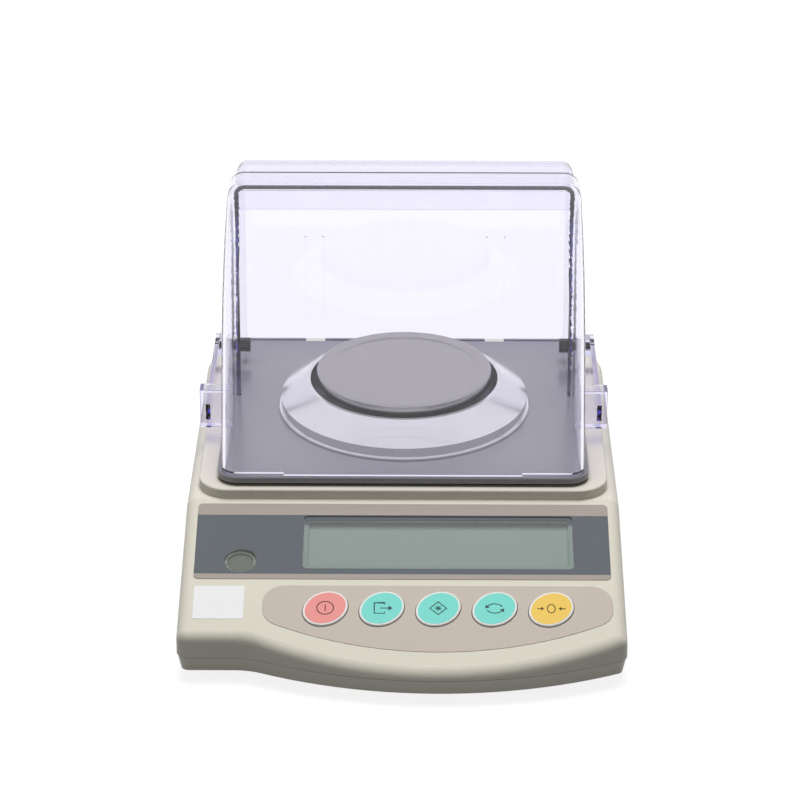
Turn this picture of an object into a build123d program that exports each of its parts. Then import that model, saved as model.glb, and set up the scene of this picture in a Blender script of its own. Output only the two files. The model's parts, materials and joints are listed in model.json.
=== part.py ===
"""Carat balance: moulded case with a sloping deck, a round pan in a draft ring, and a clear
weighing hood whose front half swings up and back on two side pivots.

Millimetres. The front of the balance faces -Y and +Z is up. The origin lies on the table, under
the middle of the case.
"""
import math
import os

from build123d import *

os.makedirs("parts", exist_ok=True)

# Case
body_width = 182.0
body_depth = 244.0
case_floor_z = 4.0  # underside of the lower case above the table
parting_z = 10.4
parting_gap = 0.4
wall = 2.5
case_draft = 0.8  # degrees
lower_draft = 12.0  # degrees, the lower case draws in towards the table
front_setback = 17.5  # the flat left part of the front lies this far behind the bulge
flat_front_width = 29.0  # from the left side to the kink where the bulge begins
kink_radius = 25.0
rear_corner_radius = 22.0
front_corner_radius = 5.0
top_edge_radius = 5.0

# Deck and plateau
deck_angle = 20.0  # degrees
deck_length = 88.0  # from the foremost point of the case to the plateau
deck_front_z = 14.17  # height of the slope over the foremost point of the case
plateau_step = 4.2
plateau_side_margin = 5.0
plateau_front_radius = 13.0
plateau_rear_radius = 18.0
plateau_rear_margin = 3.0
plateau_edge_radius = 0.8

# Fits shared by all screws and by the two halves of the case
overrun = 1.0  # forms that cut or join run on this far past the faces they meet
screw_hole_gap = 0.1
screw_end_gap = 0.3
lip_gap = 0.2
lip_height = 2.0

# Display panel, lengths along the slope measured from the top of the deck
panel_side_margin = 5.75
panel_run = 3.0
panel_height = 41.3
panel_corner_radius = 2.0
sheet_thickness = 0.8
sheet_recess = 0.6
window_left_margin = 44.25
window_right_margin = 14.75
window_run = 9.5
window_height = 29.1
window_ledge = 1.5
window_gap = 0.1
lcd_margin = 2.5
lcd_thickness = 2.8
lcd_drop = 0.3
lcd_frame_wall = 2.2

# Keys
key_panel_left_margin = 34.6  # from the side of the case
key_panel_right_margin = 5.6
key_panel_run = 47.8
key_panel_height = 34.6
key_panel_arc_rise = 16.5
key_panel_corner_radius = 8.8
key_names = ["key_power", "key_print", "key_set", "key_function", "key_zero"]
key_left_space = 2.55  # the row starts one pitch and this much from the end of its sheet
key_right_space = 2.15
key_spacing = 3.25  # by this much a key is shorter than the pitch of the row
key_run = 60.4
key_breadth = 16.6
key_tilt = 42.0  # degrees
key_clearance = 0.3
key_proud = 1.0
key_edge_radius = 0.5
key_flange = 1.0
key_flange_thickness = 1.0
key_flange_gap = 0.3
key_travel = 0.6
key_stem_radius = 2.0
key_rest_gap = 0.3  # left under the stem when a key is pressed all the way
switch_side = 6.0
switch_height = 2.0
plunger_radius = 1.7
plunger_height = 0.5

# Boards
board_thickness = 1.6
display_board_depth = 9.4  # top of the board under the deck surface
display_board_left_reach = 15.0  # past the middle of the first key
display_board_right_reach = 6.6  # past the middle of the last key
display_board_run = 4.0
display_board_height = 74.0
display_post_first_run = 47.0
display_post_last_run = 75.0
board_post_radius = 2.5
board_screw_bite = 4.0
board_screw_radius = 1.25
board_screw_head_radius = 2.4
board_screw_head_height = 1.6
board_hole_radius = 1.5
main_board_side_margin = 29.0  # from the side of the case
main_board_cell_gap = 7.0
main_board_front_margin = 19.0  # behind the top of the deck
main_board_rear_margin = 6.0
main_board_standoff = 5.5
main_post_left_inset = 4.0
main_post_right_inset = 5.0
main_post_front_inset = 4.0
main_post_rear_inset = 16.0
processor_side = 14.0
processor_height = 1.6
processor_offset = 0.5  # right of the middle of the board
processor_inset = 45.0  # behind its front edge
converter_side = 9.0
converter_offset = 4.5
converter_inset = 75.0
capacitor_radius = 4.0
capacitor_height = 11.0
capacitor_inset = 8.0  # from the left edge of the board
capacitor_rear_insets = (46.0, 34.0)

# Spirit level
level_margin = 18.75  # from the left end of the display sheet
level_run = 34.3
level_radius = 6.5
level_wall = 1.0
level_depth = 8.4
level_fit = 0.15
level_window_thickness = 1.4
level_proud = 0.2
level_flange_radius = 8.3
level_flange_thickness = 1.2
level_flange_gap = 0.2
vial_fit = 0.1
vial_height = 5.0

# Weighing hood, heights above the hood plate
pan_axis_offset = 0.45  # in front of the middle of the hood plate
plate_lift = 4.0  # top of the hood plate above the plateau
plate_side_margin = 7.8  # from the side of the plateau
plate_front_margin = 3.4
plate_rear_margin = 11.5  # from the rear of the case
plate_front_radius = 9.0
plate_rear_radius = 6.0
plate_thickness = 1.5
plate_rim_height = 2.6
plate_rim_wall = 1.5
plate_edge_radius = 0.6
spacer_radius = 5.0
spacer_side_inset = 16.2
spacer_front_inset = 14.6
spacer_rear_inset = 14.5
spacer_peg_radius = 1.9
spacer_peg_length = 5.0
spacer_peg_gap = 0.1

shell_side_margin = 4.0  # from the side of the hood plate
shell_front_reach = 9.0  # behind the middle of the pan
shell_rear_margin = 2.0
shell_height = 99.2
shell_wall = 2.2
shell_rear_radius = 35.0
shell_corner_radius = 5.0
shell_rib_depth = 0.8
shell_rib_height = 52.0
hood_draft = 0.4  # degrees
valance_height = 11.0
valance_thickness = 2.0
tongue_x = 41.0
tongue_width = 8.0
tongue_gap = 0.4
hook_reach = 1.6
hook_thickness = 1.0

door_side_gap = 0.8  # between the door and the shell inside it
door_wall = 1.5
door_front_margin = 0.6  # from the front of the hood plate
door_lean = 12.3  # the straight part of the front leans back by this much
door_straight_height = 39.6
door_crown_reach = 35.25  # behind the middle between the door's foot and the shell
door_crown_radius = 20.0
door_top_height = 101.6
door_rear_top_lap = 11.0  # the door laps over the shell by this much at the top
door_rear_bottom_lap = 7.0
door_corner_radius = 7.0
door_seat_gap = 0.4
door_lip_side_inset = 26.5
door_lip_drop = 0.9

pivot_rear_margin = 24.0  # from the rear of the shell
pivot_height = 8.0
arm_side_gap = 6.7  # between the side of the door and its arm
arm_thickness = 2.0
arm_half_height = 4.5
boss_radius = 5.1
pin_radius = 1.6
pin_fit = 0.05
pin_shoulder_radius = 3.0
pin_shoulder_length = 4.3
pin_head_radius = 2.9
pin_head_thickness = 1.2
pin_end_gap = 0.3
nut_across_flats = 5.5
nut_thickness = 2.2
tab_front_reach = 27.0  # in front of the middle of the pan
tab_depth = 7.0
tab_bottom = 2.0
tab_height = 17.5
tab_reach = 11.0  # out from the side of the door
tab_wall = 1.6

# Pan and draft ring, heights above the hood plate
pan_radius = 38.0
pan_top = 18.0
pan_rim_height = 4.6
pan_border = 5.5
pan_recess_depth = 0.5
pan_sheet = 1.6
pan_hub_radius = 8.0
pan_hub_bottom = 6.0
pan_bore_radius = 4.1
pan_bore_depth = 7.5
pan_edge_radius = 0.8
pan_ring_gap = 2.9  # between the pan and the inner edge of the ring
ring_slope_width = 11.2
ring_foot_reach = 0.9
ring_foot_thickness = 0.8
ring_shoulder_height = 5.5
ring_top = 13.6
ring_wall = 1.6
ring_seat_gap = 0.2
support_radius = 3.5
support_spigot_fit = 0.1
support_collar_radius = 7.0
support_seat_gap = 0.3
support_collar_thickness = 3.0
support_flange_radius = 10.5
support_flange_thickness = 3.0
support_screw_spread = 13.6
case_opening_radius = 12.0
plate_opening_radius = 10.0

# Weighing cell
cell_width = 24.0
cell_front_reach = 12.5  # in front of the middle of the pan
cell_rear_margin = 22.0  # from the rear of the case
cell_drop = 10.4  # top of the cell below the plateau
cell_height = 22.0
cell_hole_radius = 5.5
cell_hole_front_inset = 26.0
cell_hole_rear_inset = 24.0
cell_slot = 3.0
bracket_width = 36.0
bracket_length = 30.0
bracket_foot = 4.0
bracket_block_width = 22.0
bracket_block_length = 18.0
bracket_screw_inset_x = 3.8
bracket_screw_inset_y = 3.6
bracket_screw_bite = 2.0
cell_screw_radius = 2.0
cell_screw_head_radius = 3.6
cell_screw_head_height = 2.6
cell_screw_bite = 5.0
cell_screw_spread = 9.0
small_screw_radius = 1.5
small_screw_head_radius = 2.5
small_screw_head_height = 2.0
stop_radius = 2.0
stop_inset = 2.5  # from the front of the weighing cell
stop_gap = 0.4
stop_boss_radius = 3.8
stop_boss_height = 5.5
stop_nut_across_flats = 7.0
stop_nut_thickness = 3.0

# Feet
foot_front_side_inset = 17.5
foot_front_inset = 20.5  # behind the flat part of the front
foot_rear_side_inset = 19.0
foot_rear_inset = 30.0
pad_radius = 8.5
pad_height = 2.9
pad_pin_radius = 2.0
pad_pin_length = 4.0
foot_gap = 0.3
wheel_radius = 10.0
wheel_height = 6.0
wheel_flutes = 18
wheel_flute_radius = 1.0
foot_fit = 0.05
stud_radius = 3.0
stud_length = 10.0
well_clearance = 1.6
foot_boss_wall = 2.6
well_wall = 1.6

# Case screws and rear sockets
case_screw_side_inset = 10.0
case_screw_front_reach = 16.0  # in front of the top of the deck
case_screw_middle_reach = 54.0  # behind the top of the deck
case_screw_rear_inset = 10.0
case_boss_radius = 4.0
case_boss_top_z = 18.0
case_screw_radius = 1.6
case_screw_head_radius = 2.9
case_screw_head_height = 1.8
screw_sink = 0.4
case_screw_length = 20.0
socket_gap = 0.4
inlet_offset = 15.5  # left of the middle of the main board
inlet_width = 9.0
inlet_height = 11.0
inlet_depth = 13.5
inlet_bore_radius = 3.1
inlet_bore_depth = 9.5
inlet_pin_radius = 1.0
inlet_pin_length = 8.5
socket_spacing = 4.0
serial_width = 31.0
serial_height = 12.5
serial_body_width = 19.0
serial_body_height = 10.8
serial_depth = 10.0
serial_recess = 5.5  # the serial socket's flange lies this far inside the rear wall
serial_flange = 0.8
serial_shell_width = 17.0
serial_shell_height = 8.4
serial_shell_slope = 10.0  # degrees
serial_shell_wall = 0.6
serial_shell_reach = 5.0
serial_shell_corner = 1.8
serial_pin_reach = 4.4
serial_upper_pin_count = 5
serial_lower_pin_count = 4
serial_pin_rise = 1.42
serial_pin_pitch = 2.77
serial_pin_radius = 0.5
jackscrew_spacing = 25.0
jackscrew_across_flats = 4.8
jackscrew_length = 4.8

# Places worked out from the driving dimensions
front_y = -body_depth / 2
rear_y = body_depth / 2
side_x = body_width / 2
front_flat_y = front_y + front_setback
bulge_left_x = flat_front_width - side_x
bulge_middle_x = (bulge_left_x + side_x) / 2
deck_rear_y = front_y + deck_length
deck_rear_z = deck_front_z + deck_length * math.tan(math.radians(deck_angle))
plateau_width = body_width - 2 * plateau_side_margin
plateau_z = deck_rear_z + plateau_step
plate_top_z = plateau_z + plate_lift
inner_floor_z = case_floor_z + wall
deck_plane = Plane(
    origin=(0, deck_rear_y, deck_rear_z),
    x_dir=(1, 0, 0),
    z_dir=(0, -math.sin(math.radians(deck_angle)), math.cos(math.radians(deck_angle))),
)
plate_width = plateau_width - 2 * plate_side_margin
plate_front_y = deck_rear_y + plate_front_margin
plate_rear_y = rear_y - plate_rear_margin
pan_axis_y = (plate_front_y + plate_rear_y) / 2 - pan_axis_offset
shell_width = plate_width - 2 * shell_side_margin
shell_front_y = pan_axis_y + shell_front_reach
shell_rear_y = plate_rear_y - shell_rear_margin
door_width = shell_width + 2 * (door_side_gap + door_wall)
door_front_y = plate_front_y + door_front_margin
door_straight_y = door_front_y + door_lean
door_crown_y = (door_front_y + shell_front_y) / 2 + door_crown_reach
door_rear_top_y = shell_front_y + door_rear_top_lap
door_rear_bottom_y = shell_front_y + door_rear_bottom_lap
door_lip_width = door_width - 2 * door_lip_side_inset
pivot_y = shell_rear_y - pivot_rear_margin
pivot_z = plate_top_z + pivot_height
tab_front_y = pan_axis_y - tab_front_reach
tab_outer_x = door_width / 2 + tab_reach
ring_top_radius = pan_radius + pan_ring_gap + ring_wall
ring_shoulder_radius = ring_top_radius + ring_slope_width
ring_foot_radius = ring_shoulder_radius + ring_foot_reach
pan_recess_radius = pan_radius - pan_border
panel_width = body_width - 2 * panel_side_margin
window_left_x = window_left_margin - panel_width / 2
window_width = panel_width - window_left_margin - window_right_margin
level_x = level_margin - panel_width / 2
key_panel_left_x = key_panel_left_margin - side_x
key_panel_right_x = side_x - key_panel_right_margin
key_row_width = key_panel_right_x - key_panel_left_x - key_left_space - key_right_space
key_pitch = key_row_width / (len(key_names) + 1)
key_first_x = key_panel_left_x + key_left_space + key_pitch
key_length = key_pitch - key_spacing
key_centre_xs = [key_first_x + key_pitch * count for count in range(len(key_names))]
display_board_left_x = key_first_x - display_board_left_reach
display_board_width = key_centre_xs[-1] + display_board_right_reach - display_board_left_x
display_board_middle = (
    display_board_left_x + display_board_width / 2,
    -display_board_run - display_board_height / 2,
)
display_post_xs = [key_first_x + key_pitch / 2, key_centre_xs[-1] - key_pitch / 2]
display_post_places = [
    (x, -run) for x in display_post_xs for run in (display_post_first_run, display_post_last_run)
]
window_middle = (window_left_x + window_width / 2, -window_run - window_height / 2)
key_places = [(x, -key_run) for x in key_centre_xs]
level_place = (level_x, -level_run)
lcd_top = -wall - lcd_drop
flange_top = -wall - key_flange_gap
switch_top = switch_height - display_board_depth
stem_end = switch_top + plunger_height + key_travel + key_rest_gap
main_board_z = inner_floor_z + main_board_standoff
main_board_top_z = main_board_z + board_thickness
main_board_left_x = main_board_side_margin - side_x
main_board_right_x = -cell_width / 2 - main_board_cell_gap
main_board_front_y = deck_rear_y + main_board_front_margin
main_board_rear_y = rear_y - main_board_rear_margin
main_board_middle = (
    (main_board_left_x + main_board_right_x) / 2,
    (main_board_front_y + main_board_rear_y) / 2,
)
main_post_places = [
    (x, y)
    for x in (main_board_left_x + main_post_left_inset, main_board_right_x - main_post_right_inset)
    for y in (main_board_front_y + main_post_front_inset, main_board_rear_y - main_post_rear_inset)
]
processor_place = (main_board_middle[0] + processor_offset, main_board_front_y + processor_inset)
converter_place = (main_board_middle[0] + converter_offset, main_board_front_y + converter_inset)
capacitor_places = [
    (main_board_left_x + capacitor_inset, main_board_rear_y - inset)
    for inset in capacitor_rear_insets
]
spacer_places = [
    (side * (plate_width / 2 - spacer_side_inset), y)
    for side in (-1, 1)
    for y in (plate_front_y + spacer_front_inset, plate_rear_y - spacer_rear_inset)
]
cell_front_y = pan_axis_y - cell_front_reach
cell_rear_y = rear_y - cell_rear_margin
cell_hole_front_y = cell_front_y + cell_hole_front_inset
cell_hole_rear_y = cell_rear_y - cell_hole_rear_inset
cell_top_z = plateau_z - cell_drop
cell_bottom_z = cell_top_z - cell_height
cell_middle_y = (cell_front_y + cell_rear_y) / 2
cell_fixing_y = cell_rear_y - bracket_block_length / 2
cell_screw_places = [
    (0, cell_fixing_y - cell_screw_spread / 2),
    (0, cell_fixing_y + cell_screw_spread / 2),
]
bracket_screw_places = [
    (side * (bracket_width / 2 - bracket_screw_inset_x), cell_fixing_y + end * reach)
    for side in (-1, 1)
    for end in (-1, 1)
    for reach in (bracket_length / 2 - bracket_screw_inset_y,)
]
support_screw_places = [
    (-support_screw_spread / 2, pan_axis_y),
    (support_screw_spread / 2, pan_axis_y),
]
stop_y = cell_front_y + stop_inset
stop_boss_z = inner_floor_z + stop_boss_height
foot_front_x = side_x - foot_front_side_inset
foot_front_y = front_flat_y + foot_front_inset
foot_rear_x = side_x - foot_rear_side_inset
foot_rear_y = rear_y - foot_rear_inset
foot_places = {
    "front_left": (-foot_front_x, foot_front_y),
    "front_right": (foot_front_x, foot_front_y),
    "rear_left": (-foot_rear_x, foot_rear_y),
    "rear_right": (foot_rear_x, foot_rear_y),
}
wheel_bottom_z = pad_height + foot_gap
wheel_top_z = wheel_bottom_z + wheel_height
well_radius = wheel_radius + well_clearance
well_top_z = wheel_top_z + foot_gap
stud_top_z = wheel_top_z + stud_length
case_screw_seat_z = case_floor_z + screw_sink + case_screw_head_height
case_screw_places = [
    (side * (side_x - case_screw_side_inset), y)
    for side in (-1, 1)
    for y in (deck_rear_y - case_screw_front_reach, deck_rear_y + case_screw_middle_reach)
] + [(0, rear_y - case_screw_rear_inset)]
socket_face_y = rear_y - socket_gap
serial_face_y = rear_y - serial_recess
inlet_x = main_board_middle[0] - inlet_offset
inlet_z = main_board_top_z + inlet_height / 2
serial_x = inlet_x + (inlet_width + serial_width) / 2 + socket_spacing
serial_z = main_board_top_z + serial_height / 2
boss_inner_x = shell_width / 2 + pin_shoulder_length + pin_end_gap
arm_outer_x = door_width / 2 + arm_side_gap + arm_thickness
arm_centre_x = arm_outer_x - arm_thickness / 2
pin_head_x = arm_outer_x - pin_head_thickness
pan_axis = Axis((0, pan_axis_y, 0), (0, 0, 1))
pan_section = Plane(origin=(0, pan_axis_y, plate_top_z), x_dir=(1, 0, 0), z_dir=(0, -1, 0))
pivot_axis = Axis((0, pivot_y, pivot_z), (1, 0, 0))
pivot_section = Plane(origin=(0, pivot_y, pivot_z), x_dir=(1, 0, 0), z_dir=(0, -1, 0))
hood_side = Plane(origin=(0, 0, plate_top_z), x_dir=(0, 1, 0), z_dir=(1, 0, 0))
hood_front = Plane(origin=(0, 0, plate_top_z), x_dir=(1, 0, 0), z_dir=(0, -1, 0))


def deck_height(y):
    """Height of the deck surface, carried on forward of its rear edge."""
    return deck_rear_z - math.tan(math.radians(deck_angle)) * (deck_rear_y - y)


def save(piece, name):
    """Label a finished piece and write it under its node name."""
    piece.part.label = name
    export_step(piece.part, f"parts/{name}.step")


def case_plan(inset):
    """Plan of the case: straight sides and rear, flat left front, bulged right front."""
    with BuildSketch() as plan:
        with BuildLine():
            ThreePointArc(
                (bulge_left_x, front_flat_y), (bulge_middle_x, front_y), (side_x, front_flat_y)
            )
            Polyline(
                (side_x, front_flat_y),
                (side_x, rear_y),
                (-side_x, rear_y),
                (-side_x, front_flat_y),
                (bulge_left_x, front_flat_y),
            )
        make_face()
        fillet(plan.vertices().group_by(Axis.Y)[-1], rear_corner_radius)
        for corner_x in (-side_x, side_x):
            fillet(plan.vertices().sort_by_distance((corner_x, front_flat_y))[0], front_corner_radius)
        fillet(plan.vertices().sort_by_distance((bulge_left_x, front_flat_y))[0], kink_radius)
        if inset > 0:
            offset(amount=-inset, mode=Mode.REPLACE)
    return plan.sketch


def slope_wedge(drop):
    """Space above the deck slope, lowered by a drop measured square to the slope."""
    reach = 60.0
    lowered = drop / math.cos(math.radians(deck_angle))
    ridge_y = deck_rear_y
    front = front_y - reach
    with BuildPart() as wedge:
        with BuildSketch(Plane.YZ):
            with BuildLine():
                Polyline(
                    (front, deck_height(front) - lowered),
                    (ridge_y + reach, deck_height(ridge_y + reach) - lowered),
                    (ridge_y + reach, deck_rear_z + reach),
                    (front, deck_rear_z + reach),
                    close=True,
                )
            make_face()
        extrude(amount=body_width, both=True)
    return wedge.part


def plateau_plan(inset):
    """Plan of the raised rear platform."""
    back = rear_y - plateau_rear_margin
    with BuildSketch() as plan:
        with Locations((0, (deck_rear_y + back) / 2)):
            Rectangle(plateau_width, back - deck_rear_y)
        fillet(plan.vertices().group_by(Axis.Y)[0], plateau_front_radius)
        fillet(plan.vertices().group_by(Axis.Y)[-1], plateau_rear_radius)
        if inset > 0:
            offset(amount=-inset, mode=Mode.REPLACE)
    return plan.sketch


def window_plan(growth):
    """Display window on the slope, grown or shrunk on every side."""
    with BuildSketch() as plan:
        with Locations(window_middle):
            Rectangle(window_width + 2 * growth, window_height + 2 * growth)
        fillet(plan.vertices(), panel_corner_radius)
    return plan.sketch


def panel_plan(growth):
    """Display sheet on the slope."""
    with BuildSketch() as plan:
        with Locations((0, -panel_run - panel_height / 2)):
            Rectangle(panel_width + 2 * growth, panel_height + 2 * growth)
        fillet(plan.vertices(), panel_corner_radius)
    return plan.sketch


def key_panel_plan(growth):
    """Leaf-shaped key sheet on the slope: straight top, arched lower edge."""
    middle_x = (key_panel_left_x + key_panel_right_x) / 2
    top = -key_panel_run
    low = top - key_panel_height
    side_low = low + key_panel_arc_rise
    with BuildSketch() as plan:
        with BuildLine():
            ThreePointArc(
                (key_panel_left_x, side_low), (middle_x, low), (key_panel_right_x, side_low)
            )
            Polyline(
                (key_panel_right_x, side_low),
                (key_panel_right_x, top),
                (key_panel_left_x, top),
                (key_panel_left_x, side_low),
            )
        make_face()
        fillet(plan.vertices(), key_panel_corner_radius)
        if growth > 0:
            offset(amount=growth, mode=Mode.REPLACE)
    return plan.sketch


def key_ovals(growth, places):
    """Tilted key ovals on the slope."""
    with BuildSketch() as ovals:
        with Locations(*places):
            Ellipse(key_length / 2 + growth, key_breadth / 2 + growth, rotation=key_tilt)
    return ovals.sketch


def rounds(radius, places):
    """Equal circles at several places."""
    with BuildSketch() as circles:
        with Locations(*places):
            Circle(radius)
    return circles.sketch


def screw_set(plane, places, radius, length, head_radius, head_height, side=1):
    """Equal screws seated on a plane, their heads on its upper side or, with side -1, below."""
    with BuildPart() as screws:
        with BuildSketch(plane):
            add(rounds(head_radius, places))
        extrude(amount=side * head_height)
        with BuildSketch(plane):
            add(rounds(radius, places))
        extrude(amount=-side * length)
    return screws.part


def hood_bar(width, inset):
    """Front view of a hood part, narrowing upward, carried through front to back."""
    top = door_top_height + 2 * shell_rear_radius
    low = -shell_rear_radius
    slope = math.tan(math.radians(hood_draft))
    half = width / 2 - inset
    with BuildPart() as bar:
        with BuildSketch(hood_front):
            with BuildLine():
                Polyline(
                    (-half + slope * low, low),
                    (half - slope * low, low),
                    (half - slope * top, top),
                    (-half + slope * top, top),
                    close=True,
                )
            make_face()
        extrude(amount=body_depth, both=True)
    return bar.part


def door_form(inset):
    """Space filled by the door, carried on downward and to the rear past its edges."""
    run_on = 20.0
    lean = (door_straight_y - door_front_y) / door_straight_height
    with BuildPart() as form:
        with BuildSketch(hood_side) as profile:
            with BuildLine():
                front = Line(
                    (door_front_y - lean * run_on, -run_on), (door_straight_y, door_straight_height)
                )
                TangentArc(front @ 1, (door_crown_y, door_top_height), tangent=front % 1)
                Polyline(
                    (door_crown_y, door_top_height),
                    (door_rear_top_y + run_on, door_top_height),
                    (door_rear_top_y + run_on, -run_on),
                    front @ 0,
                )
            make_face()
            crown = profile.vertices().sort_by_distance((door_crown_y, door_top_height))[0]
            fillet(crown, door_crown_radius)
            if inset > 0:
                offset(amount=-inset, mode=Mode.REPLACE)
        extrude(amount=body_width, both=True)
        add(hood_bar(door_width, inset), mode=Mode.INTERSECT)
        sides = form.faces().filter_by(lambda face: abs(face.normal_at().X) > 0.9)
        edges = [
            edge
            for edge in sides.edges()
            if edge.center().Z > plate_top_z - run_on / 2 and edge.center().Y < door_rear_top_y + run_on / 2
        ]
        fillet(edges, door_corner_radius - inset)
    return form.part


def shell_form(inset):
    """Space filled by the rear shell, carried on downward and to the front past its edges."""
    run_on = 20.0
    with BuildPart() as form:
        with BuildSketch(hood_side) as profile:
            with BuildLine():
                Polyline(
                    (shell_front_y - run_on, -run_on),
                    (shell_rear_y, -run_on),
                    (shell_rear_y, shell_height),
                    (shell_front_y - run_on, shell_height),
                    close=True,
                )
            make_face()
            fillet(profile.vertices().sort_by_distance((shell_rear_y, shell_height))[0], shell_rear_radius)
            if inset > 0:
                offset(amount=-inset, mode=Mode.REPLACE)
        extrude(amount=body_width, both=True)
        add(hood_bar(shell_width, inset), mode=Mode.INTERSECT)
        sides = form.faces().filter_by(lambda face: abs(face.normal_at().X) > 0.9)
        edges = [
            edge
            for edge in sides.edges()
            if edge.center().Z > plate_top_z - run_on / 2 and edge.center().Y > shell_front_y - run_on / 2
        ]
        fillet(edges, shell_corner_radius - inset)
    return form.part


# Hollow of the upper case
with BuildPart() as case_hollow:
    with BuildSketch(Plane.XY.offset(parting_z)):
        add(case_plan(wall))
    extrude(amount=deck_rear_z - wall - parting_z, taper=case_draft)
    add(slope_wedge(wall), mode=Mode.SUBTRACT)
    with BuildSketch(Plane.XY.offset(deck_rear_z - wall - overrun)):
        add(plateau_plan(2 * wall))
    extrude(amount=plateau_step + overrun)

# Solid outside form of the upper case
with BuildPart() as case_block:
    with BuildSketch(Plane.XY.offset(parting_z + parting_gap)):
        add(case_plan(0))
    extrude(amount=deck_rear_z - parting_z - parting_gap, taper=case_draft)
    add(slope_wedge(0), mode=Mode.SUBTRACT)
    crown = case_block.faces().filter_by(lambda face: face.normal_at().Z > 0.9)
    rim = [
        edge
        for edge in crown.edges()
        if len([face for face in crown if edge in face.edges()]) == 1
    ]
    fillet(rim, top_edge_radius)
    with BuildSketch(Plane.XY.offset(deck_rear_z - overrun)):
        add(plateau_plan(0))
    extrude(amount=plateau_step + overrun)
    fillet(case_block.faces().sort_by(Axis.Z)[-1].outer_wire().edges(), plateau_edge_radius)

# Screw bosses and board posts, cut to the inside of the case
with BuildPart() as case_posts:
    with BuildSketch(Plane.XY.offset(case_boss_top_z)):
        add(rounds(case_boss_radius, case_screw_places))
    extrude(amount=plateau_z)
    with BuildSketch(deck_plane.offset(-display_board_depth)):
        add(rounds(board_post_radius, display_post_places))
    extrude(amount=display_board_depth)
    add(case_block.part, mode=Mode.INTERSECT)

with BuildPart() as upper_case:
    add(case_block.part)
    add(case_hollow.part, mode=Mode.SUBTRACT)
    add(case_posts.part)
    with BuildSketch(deck_plane.offset(-sheet_recess)):
        add(panel_plan(window_gap))
        add(key_panel_plan(window_gap))
    extrude(amount=top_edge_radius, mode=Mode.SUBTRACT)
    with BuildSketch(deck_plane.offset(-wall - overrun)):
        add(window_plan(-window_ledge))
        add(key_ovals(key_clearance, key_places))
        add(rounds(level_radius + level_fit, [level_place]))
    extrude(amount=wall + overrun, mode=Mode.SUBTRACT)
    with BuildSketch(Plane.XY.offset(case_boss_top_z)):
        add(rounds(case_screw_radius + screw_hole_gap, case_screw_places))
    extrude(
        amount=case_screw_seat_z + case_screw_length + screw_end_gap - case_boss_top_z,
        mode=Mode.SUBTRACT,
    )
    with BuildSketch(deck_plane.offset(-display_board_depth)):
        add(rounds(board_screw_radius + screw_hole_gap, display_post_places))
    extrude(amount=board_screw_bite + screw_end_gap, mode=Mode.SUBTRACT)
    with BuildSketch(Plane.XY.offset(plateau_z)):
        add(rounds(case_opening_radius, [(0, pan_axis_y)]))
        add(rounds(spacer_peg_radius + spacer_peg_gap, spacer_places))
    extrude(amount=-2 * wall, mode=Mode.SUBTRACT)
    with BuildSketch(Plane.XZ.offset(-rear_y - overrun)):
        with Locations((inlet_x, inlet_z)):
            Rectangle(inlet_width + 2 * socket_gap, inlet_height + 2 * socket_gap)
        with Locations((serial_x, serial_z)):
            Rectangle(serial_width + 2 * socket_gap, serial_height + 2 * socket_gap)
    extrude(amount=2 * wall, mode=Mode.SUBTRACT)
save(upper_case, "upper_case")

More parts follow.
